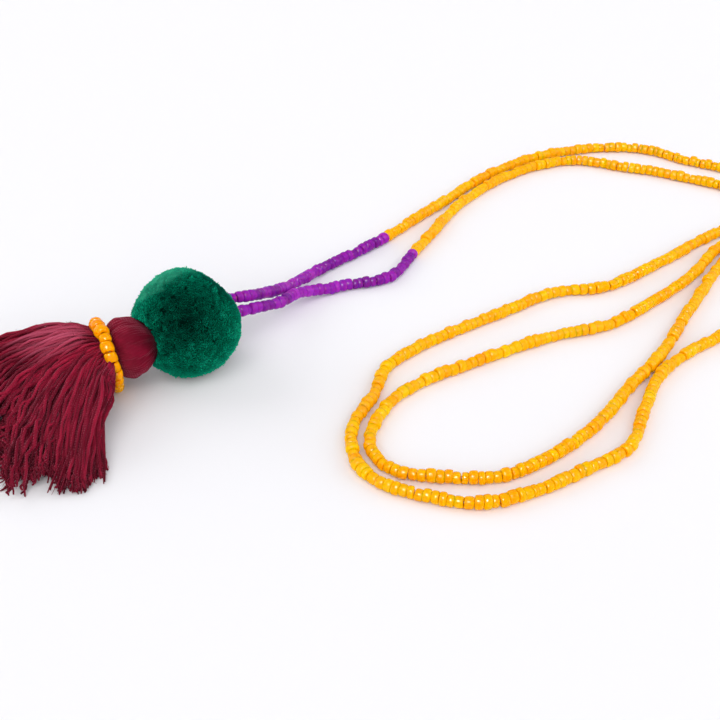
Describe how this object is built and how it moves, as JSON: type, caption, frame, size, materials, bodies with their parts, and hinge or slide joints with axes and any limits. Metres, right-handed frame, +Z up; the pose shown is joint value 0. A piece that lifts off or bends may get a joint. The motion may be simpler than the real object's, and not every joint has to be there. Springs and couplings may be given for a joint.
{
  "type": "tassel necklace",
  "caption": "Long loop of seed beads laid in bends on a surface, carrying a clipped yarn ball and a full thread tassel with a beaded collar.",
  "frame": {"origin": "middle of the laid necklace's outline, on the surface that it lies on", "axes": "+Z up from the surface; +X from the tassel towards the nape's bend, along the longest side of the laid necklace; +Y away from the viewer of the picture"},
  "size_m": [0.2797, 0.1841, 0.0272],
  "materials": {
    "orange_beads": "opaque glossy",
    "purple_beads": "opaque glossy",
    "green_yarn": "matte pile",
    "burgundy_thread": "soft sheen"
  },
  "bodies": {
    "root": {"bead_string_back": "orange_beads", "bead_string_front": "orange_beads", "purple_length_back": "purple_beads", "purple_length_front": "purple_beads", "pompom": "green_yarn", "tassel": "burgundy_thread", "collar_beads": "orange_beads"}
  },
  "joints": []
}
